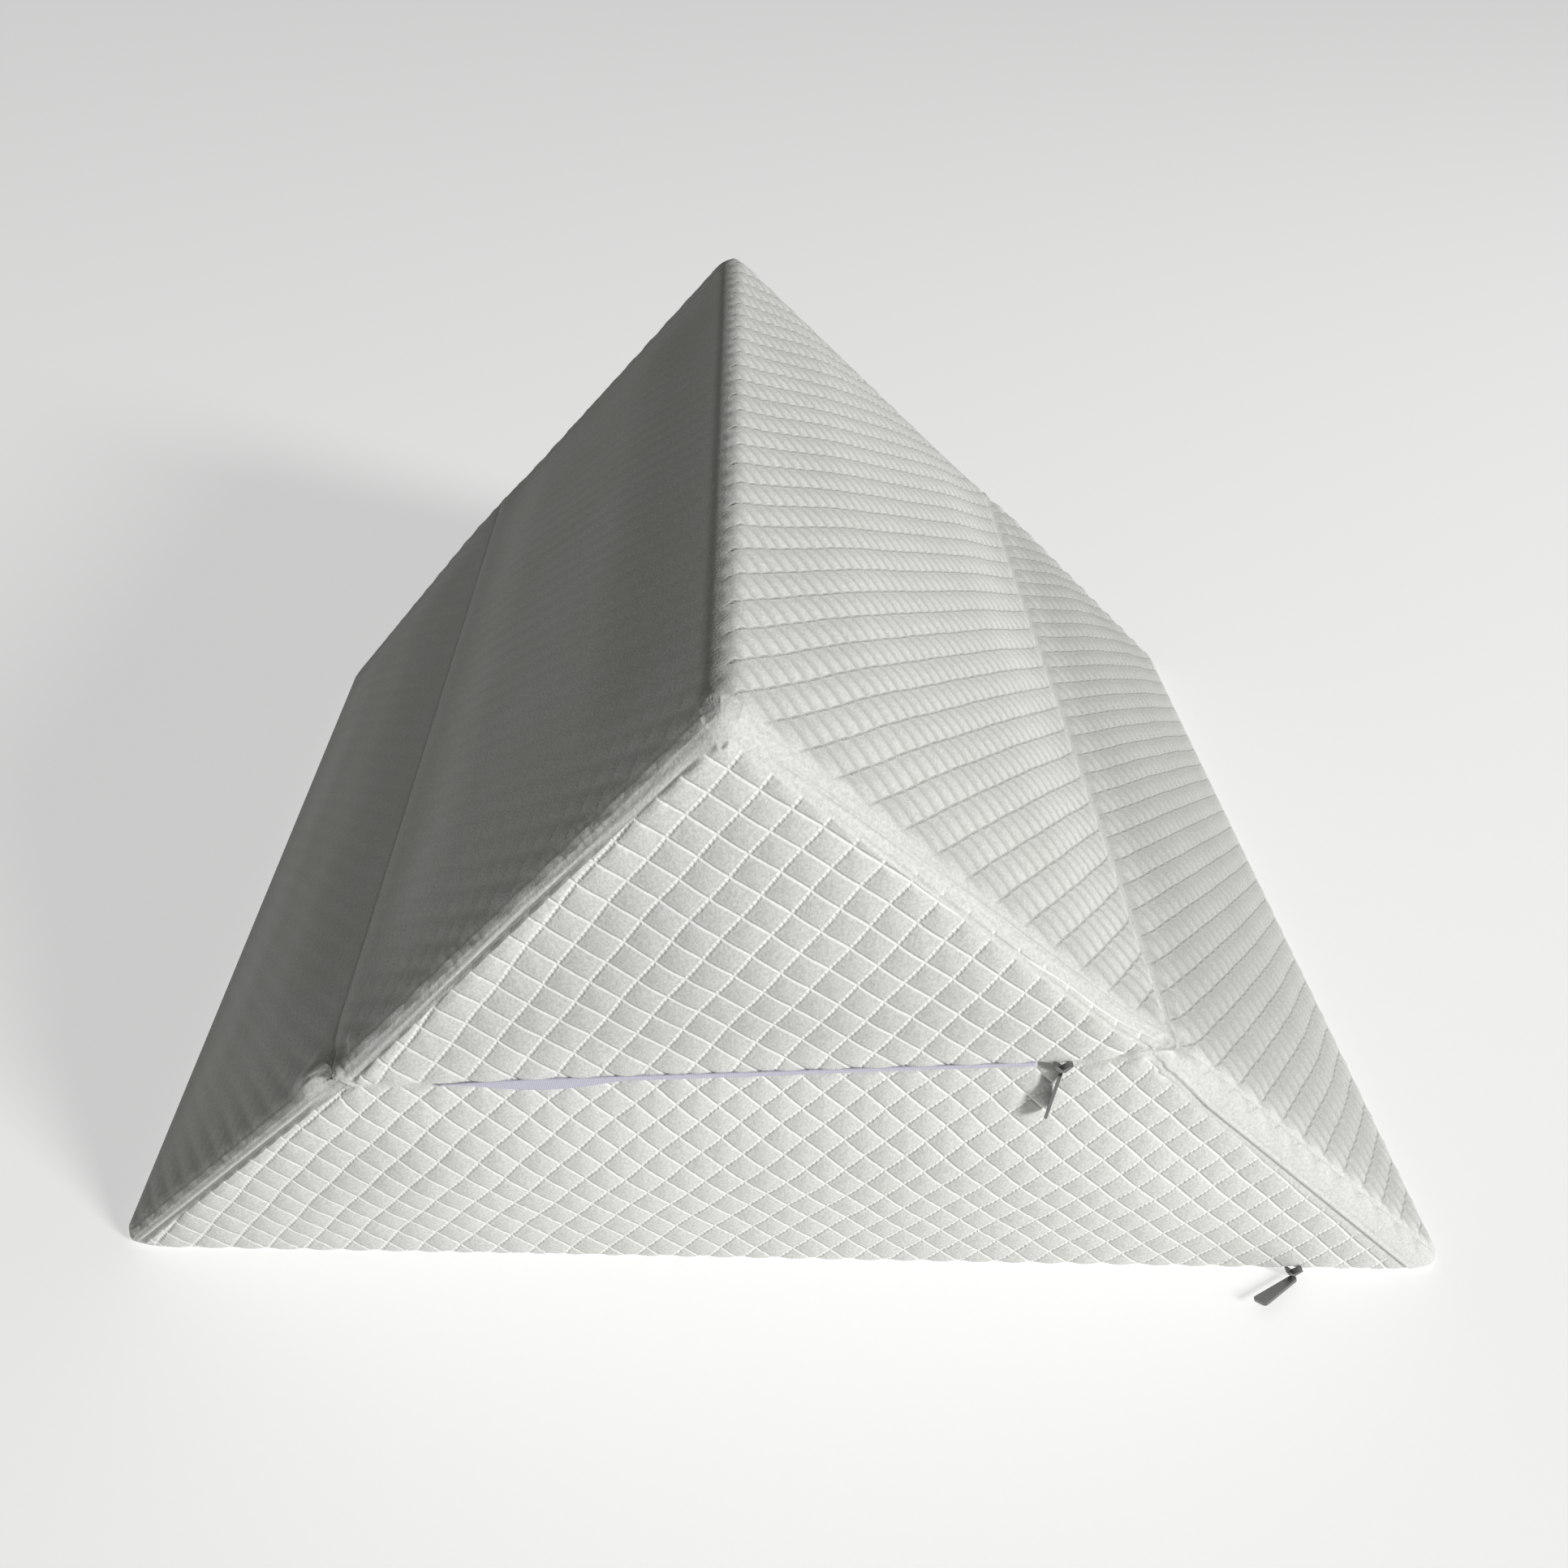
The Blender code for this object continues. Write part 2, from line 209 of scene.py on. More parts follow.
# The floor is white matt vinyl that also glows a little, as the top of a light table does.
vinyl = bpy.data.materials.new("matt_white_vinyl")
vinyl.use_nodes = True
surface = vinyl.node_tree.nodes["Principled BSDF"]
surface.inputs["Base Color"].default_value = (*linear("#C8C8C6"), 1)
surface.inputs["Roughness"].default_value = 0.9
surface.inputs["Emission Color"].default_value = (1, 1, 1, 1)
surface.inputs["Emission Strength"].default_value = 0.55
bm = bmesh.new()
bmesh.ops.create_grid(bm, x_segments=1, y_segments=1, size=FLOOR_HALF)
bmesh.ops.translate(bm, verts=bm.verts, vec=(0, 0, -GAP))
mesh = bpy.data.meshes.new("floor")
bm.to_mesh(mesh)
bm.free()
mesh.materials.append(vinyl)
floor = bpy.data.objects.new("floor", mesh)
bpy.context.scene.collection.objects.link(floor)
print("key lamp points from", [round(v, 2) for v in KEY_DIRECTION])

# %% [markdown]
# ## Quilted cushion, step 1: a rounded block
# A cube is drawn out to the prism, and a weighted bevel rounds each edge by its own reach. Rounding
# first and cutting later means the fine grid follows the rolled edges, so no fold line shows.

# %% Rounded block
def roll_reach(edge, cushion):
    """How far the rounding of this edge reaches over its faces."""
    low, high = LEVELS[cushion]
    start, end = (vert.co for vert in edge.verts)
    on_contact = abs((start.z + end.z) / 2 - (low if cushion == "upper" else high)) < GAP
    on_end = abs(start.y - end.y) < GAP
    if on_end and abs(start.z - end.z) > GAP:
        return END_ROLL
    if on_end:
        return CONTACT_ROLL[cushion] if on_contact else BASE_ROLL
    if on_contact:
        return CREASE_ROLL
    return RIDGE_ROLL if cushion == "upper" else SIDE_ROLL


def rounded_block(cushion):
    """The cushion's prism with rounded edges, as a bmesh of a few large faces."""
    low, high = LEVELS[cushion]
    bm = bmesh.new()
    bmesh.ops.create_cube(bm, size=1.0)
    for vert in bm.verts:
        height = low if vert.co.z < 0 else high
        vert.co = (side_x(2 * vert.co.x, height), vert.co.y * LENGTH, height)
    bmesh.ops.remove_doubles(bm, verts=bm.verts, dist=GAP)
    bmesh.ops.recalc_face_normals(bm, faces=bm.faces)
    weight = bm.edges.layers.float.new("bevel_weight_edge")
    for edge in bm.edges:
        edge[weight] = roll_reach(edge, cushion) / END_ROLL
    mesh = bpy.data.meshes.new("blank")
    bm.to_mesh(mesh)
    bm.free()
    blank = bpy.data.objects.new("blank", mesh)
    bpy.context.scene.collection.objects.link(blank)
    bevel = blank.modifiers.new("rolled edges", "BEVEL")
    bevel.limit_method = "WEIGHT"
    bevel.width = END_ROLL
    bevel.segments = ROLL_STEPS
    bm = bmesh.new()
    bm.from_object(blank, bpy.context.evaluated_depsgraph_get())
    bpy.data.objects.remove(blank)
    bpy.data.meshes.remove(mesh)
    return bm


def panels_of(cushion):
    """(kind, outward normal, level direction, mirror) of the four quilted panels."""
    found = []
    for end in (-1, 1):
        found.append((cushion + "_end", Vector((0, end, 0)), Vector((-end, 0, 0)), 1))
    for side in (-1, 1):
        foot = Vector((side_x(side, 0), 0, 0))
        down = (foot - Vector((RIDGE_X, 0, HEIGHT))).normalized()
        found.append((cushion + "_slope", Vector((-down.z * side, 0, down.x * side)), down, side))
    return found


def outline_of(face):
    """(point, inward direction) of each side of a flat face."""
    middle = face.calc_center_median()
    sides = []
    for edge in face.edges:
        start, end = (vert.co for vert in edge.verts)
        inward = face.normal.cross(end - start).normalized()
        if inward.dot(middle - start) < 0:
            inward = -inward
        sides.append((np.array(start), np.array(inward)))
    return sides


for name in LEVELS:
    block = rounded_block(name)
    print(name, "block:", len(block.faces), "faces")
    block.free()

# %% [markdown]
# ## Step 2: a fine grid
# The raised diamonds are 13 mm wide, so the faces are cut to about 2 mm. Cutting opposite edges in
# equal counts gives clean rows. The hidden base and contact faces are taken out first and closed
# again with a coarse grid, which saves half the triangles.

# %% Fine grid
CUTS_ALONG = 220
CUTS_UP = {"upper": 108, "lower": 84}
CUTS_ACROSS = {"upper": 108, "lower": 190}
LONG_EDGE = 0.05
COARSE = 0.055
COARSE_SNAP = 0.0008
# The rows beside the end panels: their pitch, how far round the roll they lie, and how deep the roll goes.
ROLL_ROWS = 0.0007
ROW_SNAP = 0.00015
SEAM_BAND = (-0.0024, 0.0156)
BAND_DEPTH = 0.005


def slice_faces(bm, faces, point, normal, snap=0.00002):
    """Cuts these faces along a plane and keeps both sides."""
    edges = {edge for face in faces for edge in face.edges}
    verts = {vert for face in faces for vert in face.verts}
    bmesh.ops.bisect_plane(bm, geom=[*faces, *edges, *verts], dist=snap, plane_co=point, plane_no=normal)


def cut_edges(bm, chosen, cuts):
    """Cuts the long edges that this test picks, in equal parts."""
    edges = [edge for edge in bm.edges if edge.calc_length() > LONG_EDGE and chosen(edge)]
    bmesh.ops.subdivide_edges(bm, edges=edges, cuts=cuts, use_grid_fill=True)


def runs_along(edge):
    start, end = (vert.co for vert in edge.verts)
    return abs(end.y - start.y) > LENGTH / 2


def runs_up(edge):
    start, end = (vert.co for vert in edge.verts)
    return abs(end.z - start.z) > LONG_EDGE


def runs_across(edge):
    start, end = (vert.co for vert in edge.verts)
    return abs(end.x - start.x) > LONG_EDGE and not runs_up(edge)


def fine_block(cushion):
    """The rounded block with a fine grid on its visible faces, and each panel's outline."""
    bm = rounded_block(cushion)
    outlines = []
    for _, normal, _, _ in panels_of(cushion):
        facing = [face for face in bm.faces if face.normal.dot(normal) > 0.999]
        outlines.append(outline_of(max(facing, key=lambda face: face.calc_area())))
    hidden = [face for face in bm.faces if abs(face.normal.z) > 0.999 and face.calc_area() > LONG_EDGE**2]
    bmesh.ops.delete(bm, geom=hidden, context="FACES_ONLY")
    cut_edges(bm, runs_along, CUTS_ALONG)
    if cushion == "upper":
        cut_edges(bm, lambda edge: not runs_along(edge), CUTS_UP[cushion])
    else:
        cut_edges(bm, runs_up, CUTS_UP[cushion])
        cut_edges(bm, runs_across, CUTS_ACROSS[cushion])
    rim = [edge for edge in bm.edges if edge.is_boundary]
    lids = bmesh.ops.holes_fill(bm, edges=rim, sides=0)["faces"]
    for face in lids:
        face.material_index = 1
    for axis, half in ((Vector((1, 0, 0)), WIDTH / 2), (Vector((0, 1, 0)), LENGTH / 2)):
        count = round(2 * half / COARSE)
        for step in range(1, count):
            lid = [face for face in bm.faces if face.material_index == 1]
            slice_faces(bm, lid, axis * (2 * step / count - 1) * half, axis, snap=COARSE_SNAP)
    for face in bm.faces:
        face.material_index = 0
    # The sewn seams run on the rolls beside the end panels, and need closer rows than the grid gives.
    slopes = [normal for kind, normal, _, _ in panels_of(cushion) if kind.endswith("slope")]
    for (kind, normal, _, _), outline in zip(panels_of(cushion), outlines):
        if not kind.endswith("end"):
            continue
        for slope in slopes:
            reach = max(float(point @ np.array(slope)) for point, _ in outline)
            band = []
            for face in bm.faces:
                middle = face.calc_center_median()
                by_end = middle.y * normal.y > LENGTH / 2 - END_ROLL
                if by_end and middle.dot(slope) > reach - BAND_DEPTH and abs(face.normal.z) < 0.999:
                    band.append(face)
            for arc in np.arange(*SEAM_BAND, ROLL_ROWS):
                depth = -arc if arc < 0 else -END_ROLL * math.sin(arc / END_ROLL)
                band = [face for face in band if face.is_valid]
                edges = {edge for face in band for edge in face.edges}
                verts = {vert for face in band for vert in face.verts}
                made = bmesh.ops.bisect_plane(
                    bm, geom=[*band, *edges, *verts], dist=ROW_SNAP,
                    plane_co=slope * (reach - depth), plane_no=slope,
                )["geom"]
                band = list({*band, *(item for item in made if isinstance(item, bmesh.types.BMFace))})
    bmesh.ops.triangulate(bm, faces=[face for face in bm.faces if len(face.verts) > 4])
    return bm, outlines


# %% [markdown]
# ## Step 3: the lines of the quilting
# The cover is a knit with a thin wadding, quilted in diamonds by two families of nearly parallel
# lines, A and B. Each family is a pitch, a turn and an offset, measured where the photograph shows the
# lines, and a slight bow, because cloth pulled over foam never keeps its lines quite straight.

# %% Quilt lines
# A turn is the direction across the lines, in degrees from the panel's level direction: +X on the
# ends, down the slope. An offset is in cells, and a bow is how many cells a line strays at 100 mm.
QUILT = {
    # panel: ((pitch, turn, offset, bow) of family A, the same of B, middle of the bow)
    "upper_end": (
        (0.01181, 50.87, 0.864, (0.10, -0.09, 0.16)), (0.01397, -35.56, 0.870, (0.0, 0.02, -0.35)), (-0.008, 0.066),
    ),
    "lower_end": (
        (0.01219, 40.95, 0.565, (0.06, 0.46, -0.11)), (0.01306, -41.33, 0.783, (0.03, -0.41, -0.29)), (0.014, -0.065),
    ),
    "upper_slope": (
        (0.01096, 55.96, 0.169, (-0.27, 0.08, 0.01)), (0.01285, -39.37, 0.635, (-0.05, 0.02, 0.0)), (-0.037, -0.109),
    ),
    "lower_slope": (
        (0.01159, 45.50, 0.295, (0.0, 0.0, 0.0)), (0.01139, -43.16, 0.967, (0.0, 0.0, 0.0)), (0.179, -0.089),
    ),
}
BOW_REACH = (1.4, 2.4)
LINE_WAVER = {"end": 0.020, "slope": 0.009}


def smooth(values):
    values = np.clip(values, 0, 1)
    return values * values * (3 - 2 * values)


def lattice(points, panel):
    """Each point's place in the two families of quilt lines, which run at whole numbers."""
    kind, normal, level, mirror = panel
    upright = normal.cross(level) if abs(normal.y) > 0.5 else Vector((0, 1, 0))
    offset = points - np.array((0, normal.y * LENGTH / 2, SPLIT))
    along, rise = offset @ np.array(level), offset @ np.array(upright)
    if mirror < 0:  # the left slope's cloth is the right slope's, carried on over the ridge
        along = -along - 2 * RIDGE_DOWN
    family_a, family_b, middle = QUILT[kind]
    g = np.clip((along - middle[0]) / 0.1, -BOW_REACH[0], BOW_REACH[0])
    h = np.clip((rise - middle[1]) / 0.1, -BOW_REACH[1], BOW_REACH[1])
    places = []
    for pitch, turn, start, bow in (family_a, family_b):
        angle = math.radians(turn)
        straight = (along * math.cos(angle) + rise * math.sin(angle)) / pitch
        places.append(straight - start + bow[0] * g * g + bow[1] * g * h + bow[2] * h * h)
    a, b = places
    waver = LINE_WAVER[kind.split("_")[1]]
    waver_a = waver * (np.sin(b * 0.83 + 1.3) + np.sin(b * 2.1 + a * 0.37))
    waver_b = waver * (np.sin(a * 0.71 + 0.4) + np.sin(a * 1.9 - b * 0.43))
    return a + waver_a, b + waver_b


SLOPE_DOWN = panels_of("upper")[3][2]
# From the split level up to the middle of the ridge's roll, measured along the cloth of the slope.
RIDGE_DOWN = (HEIGHT - SPLIT) / -SLOPE_DOWN.z - 0.0021
print("cells along the ridge:", round(LENGTH * math.sin(math.radians(50)) / 0.0118))

# %% [markdown]
# ## Step 4: laying the cloth over the rolled edges
# The pattern doesn't stop where a face starts to roll: the same cloth goes on round the edge. A point
# on a roll is laid flat beside the panel by its arc, so one rule draws the lines on both.

# %% Points on the rolls
# How far out on the end roll each sewn seam runs: (height above the base, way round the roll), in mm.
SEAM_OUT = {
    ("upper", -1): ((140, 4.0), (156, 5.0), (225, 6.5), (310, 3.0)),
    ("upper", 1): ((140, 12.5), (225, 10.5), (310, 6.0)),
    ("lower", -1): ((0, 6.0), (122, 6.0), (140, 4.0)),
    ("lower", 1): ((0, -0.5), (112, 0.0), (140, 4.0)),
}
# How near a point has to be to count as on a panel's plane, on a roll's arc and past an edge.
ON_PLANE = 0.00002
ON_ARC = 0.00013
PAST_EDGE = 0.00001
RIDGE_SHARE = 0.0006  # each slope's cloth takes the ridge up to this far past its middle


def seam_out(cushion, side, points):
    """How far out on the roll the seam of this side runs, at each point's height."""
    heights, ways = np.array(SEAM_OUT[cushion, side]).T / 1000
    return np.interp(points[:, 2], heights, ways)


def roll_of(panel, inward):
    """(reach, radius) of the roll on this side of a panel."""
    kind, normal, level, mirror = panel
    upper = kind.startswith("upper")
    if kind.endswith("end"):
        if abs(inward[2]) < 0.9:
            return END_ROLL, END_ROLL
        reach = BASE_ROLL
        if upper or inward[2] < 0:
            reach = CONTACT_ROLL["upper" if upper else "lower"]
        return reach, reach
    if abs(inward[1]) > 0.9:
        return END_ROLL, END_ROLL
    toward_foot = float(inward @ np.array(level)) > 0
    if upper and toward_foot:
        reach, other = RIDGE_ROLL, panels_of("upper")[2 if mirror > 0 else 3][1]
    elif upper:
        reach, other = CREASE_ROLL, Vector((0, 0, -1))
    elif toward_foot:
        reach, other = CREASE_ROLL, Vector((0, 0, 1))
    else:
        reach, other = SIDE_ROLL, Vector((0, 0, -1))
    return reach, reach / math.tan(normal.angle(other) / 2)


def laid_flat(points, panel, outline):
    """Which points are on a panel and its rolls, where they lie flat, and their outward directions."""
    out = np.array(panel[1])
    depth = (outline[0][0] - points) @ out
    member = np.abs(depth) < ON_PLANE
    flat = points.copy()
    outward = np.tile(out, (len(points), 1))
    reaches = np.stack([(points - point) @ inward for point, inward in outline])
    for index, (point, inward) in enumerate(outline):
        reach, radius = roll_of(panel, inward)
        past = -reaches[index]
        others = np.delete(reaches, index, 0).min(0) > -ON_PLANE
        on_arc = np.abs(np.hypot(past, radius - depth) - radius) < ON_ARC
        chosen = others & on_arc & (past > PAST_EDGE) & (past < reach + ON_PLANE) & (depth > -PAST_EDGE)
        if panel[0] == "upper_slope" and float(inward @ np.array(panel[2])) > 0.5:
            # The ridge's roll is shared, and each slope takes its own half.
            chosen &= (points[:, 0] - RIDGE_X) * panel[3] > -RIDGE_SHARE
        if panel[0].endswith("end") and abs(inward[2]) < 0.9:  # this panel's cloth ends at its seam
            side = -1 if inward[0] > 0 else 1
            chosen &= radius * np.arctan2(past, radius - depth) < seam_out(panel[0].split("_")[0], side, points)
        turn = np.arctan2(past[chosen], radius - depth[chosen])
        arc = radius * turn
        flat[chosen] += depth[chosen, None] * out - (arc - past[chosen])[:, None] * inward
        outward[chosen] = np.cos(turn)[:, None] * out - np.sin(turn)[:, None] * inward
        member |= chosen
    return member, flat, outward


print("seams run out on the rolls by up to, mm:", max(way for ways in SEAM_OUT.values() for _, way in ways))

# %% [markdown]
# ## Step 5: puffs, crowns and seams
# Between its lines the wadding lifts the knit into a low pillow with a flat top, and each panel as a
# whole crowns a few millimetres between its seams. The two slanted sides of an end panel are sewn out
# on the roll: a narrow groove, and outside it the lip that the seam allowance lifts.

# %% Puffs, crowns and seams
PUFF_RISE = {"end": 0.0011, "slope": 0.0016}
PUFF_POWER = {"end": (2.6, 2.6), "slope": (1.7, 2.2)}  # of families A and B
LINE_SHARE = {"end": (1.0, 1.0), "slope": (1.0, 0.6)}  # how much of the rise each family's lines take away
SHADED_SHARE = 0.10  # how high the cells of the left slope stand, against those of the right one
CROWN = 0.004
CROWN_REACH = 0.070
# Depth of a seam's groove and rise of its lip, for the (left, right) seams.
SEAM_DEPTH = (0.0008, 0.0003)
SEAM_LIP = (0.0002, 0.0009)
SEAM_SPREAD = 0.0007
SEAM_TOP = 0.291  # the two seams of an end run out here, below the ridge
# The joint between the cushions lies in a shallow valley, deeper on the right slope: (left, right).
VALLEY_DEPTH = (0.0004, 0.0013)
VALLEY_SPREAD = 0.0060
# Painted light and shade: how much lighter or darker each panel is painted than the plain bands beside the seams, for
# how the light falls on it; the shaded left slope takes one value of its own.
PANEL_PAINTED_LIGHT = {"upper_end": 0.90, "lower_end": 1.02, "upper_slope": 1.06, "lower_slope": 0.87}
LEFT_SLOPE_PAINTED_LIGHT = 1.03
PAINTED_LIGHT_REACH = 0.025
LINE_SHOWN = {-1: 0.10, 1: 1.0}  # the shaded left slope hardly shows its lines
# The light catches the cells of the shaded slope beside the ends: where that starts and over how far, how
# much higher they stand there, and how much more of their lines shows.
BY_END = (0.205, 0.040)
BY_END_RISE = 0.30
BY_END_SHOWN = 0.6
# Where the quilting starts and how far it takes to show in full, counted inwards from each edge.
FADE = {
    "left_seam": (0.0011, 0.0014),
    "upper_right_seam": (0.0026, 0.0024),
    "lower_right_seam": (0.0020, 0.0024),
    "base_of_end": (-0.0062, 0.0040),
    "joint_of_end": (-0.0016, 0.0020),
    "end_of_left_slope": (-0.0110, 0.0050),
    "end_of_upper_slope": (-0.0085, 0.0150),
    "end_of_lower_slope": (-0.0145, 0.0140),
    "edge_of_slope": (-0.0022, 0.0060),
}
# Folds beside the joint on the right slope: their rise and pitch, how far they reach, how they bend, and
# where along the slope they lie.
FOLD_RISE = 0.0006
FOLD_PITCH = 0.0055
FOLD_REACH = 0.006
FOLD_BEND = (0.004, 0.016)
FOLD_PLACE = (-0.235, 0.034)
PUCKER_PITCH = 0.0055
PUCKER_RISE = (0.00042, 0.00016)  # beside the (left, right) seams


def puff(cell_place, power):
    """0 on a quilt line, rising fast to 1 at the middle of a cell."""
    nearest = 2 * np.abs(cell_place - np.round(cell_place))
    return 1 - (1 - nearest) ** power


def quilting_shown(flat, panel, outline):
    """How much of the quilting shows at each point: all of it in the panel, less towards sewn edges."""
    shown = np.ones(len(flat))
    kind, _, level, mirror = panel
    upper = kind.startswith("upper")
    for point, inward in outline:
        reach = (flat - point) @ inward
        if kind.endswith("end"):
            if abs(inward[2]) < 0.9:
                side = -1 if inward[0] > 0 else 1
                reach = reach + seam_out(kind.split("_")[0], side, flat)
                edge = "left_seam" if side < 0 else "upper_right_seam" if upper else "lower_right_seam"
            else:
                edge = "base_of_end" if inward[2] > 0 and not upper else "joint_of_end"
        elif abs(inward[1]) > 0.9:
            edge = "end_of_upper_slope" if upper else "end_of_lower_slope"
            if mirror < 0:  # on the left the cells reach the seam
                edge = "end_of_left_slope"
        elif float(inward @ np.array(level)) > 0 and upper:
            continue
        else:
            edge = "edge_of_slope"
        start, width = FADE[edge]
        shown *= smooth((reach - start) / width)
    return shown


def from_seams(points, flat, panel, outline):
    """The sides of a panel's seams, and how far outwards of each seam every point lies along the cloth."""
    kind, _, _, mirror = panel
    found = []
    for point, inward in outline:
        beyond = (point - flat) @ inward
        if kind.endswith("end") and abs(inward[2]) < 0.9:
            side = -1 if inward[0] > 0 else 1
            found.append((side, beyond - seam_out(kind.split("_")[0], side, points)))
        elif kind.endswith("slope") and abs(inward[1]) > 0.9:
            found.append((mirror, END_ROLL * math.pi / 2 - beyond - seam_out(kind.split("_")[0], mirror, points)))
    return found


def seam_profile(out, side):
    """The sewn groove and the lip outside it, over the distance outwards from the seam."""
    groove = SEAM_DEPTH[side > 0] * np.exp(-(((out + 0.0006) / SEAM_SPREAD) ** 2))
    return SEAM_LIP[side > 0] * np.exp(-(((out - 0.0006) / SEAM_SPREAD) ** 2)) - groove


def valley(flat, panel, outline):
    """How far a slope dips towards the joint between the cushions, with a few folds by the near corner."""
    kind, _, level, mirror = panel
    toward_joint = 1 if kind.startswith("upper") else -1
    sides = [(point, inward) for point, inward in outline if float(inward @ np.array(level)) * toward_joint < -0.5]
    point, inward = sides[0]
    reach = (flat - point) @ inward + CREASE_ROLL
    dip = VALLEY_DEPTH[mirror > 0] * np.exp(-((reach / VALLEY_SPREAD) ** 2))
    if mirror > 0:
        near_corner = np.exp(-(((flat[:, 1] - FOLD_PLACE[0]) / FOLD_PLACE[1]) ** 2))
        bend = reach + FOLD_BEND[0] * np.sin(flat[:, 1] / FOLD_BEND[1])
        ripple = np.sin(2 * math.pi * bend / FOLD_PITCH) * np.exp(-(((reach - FOLD_REACH) / FOLD_REACH) ** 2))
        dip = dip + FOLD_RISE * near_corner * ripple
    return dip


# Small lumps and dents where the cloth bunches at the ends of the joint.
RUMPLES = (
    # (cushion, centre, reach, push), in mm
    ("both", (-178, -254, 139), 15, (4.0, 0.0, 4.0)),
    ("both", (-172, -250, 141), 5, (2.0, 2.5, 0.0)),
    ("lower", (-186, -251, 130), 8, (-1.5, -2.0, 4.2)),
    ("both", (156, -257, 142), 17, (-2.0, 0.0, 4.5)),
    ("lower", (152, -258, 140), 5, (0.0, 1.6, -1.2)),
    ("lower", (164, -253, 140), 5, (-2.0, 2.0, -2.5)),
    ("upper", (158, -255, 147), 6, (1.5, -1.2, -1.0)),
    ("upper", (140, -258, 142), 6, (0.0, 1.4, 0.0)),
)


def rumpled(cushion, points):
    """The settled cushion with its small lumps and dents."""
    moved = points.copy()
    for owner, centre, reach, push in RUMPLES:
        if owner in (cushion, "both"):
            near = np.exp(-(np.linalg.norm(points * 1000 - centre, axis=1) / reach) ** 2)
            moved += near[:, None] * np.array(push) / 1000
    return moved


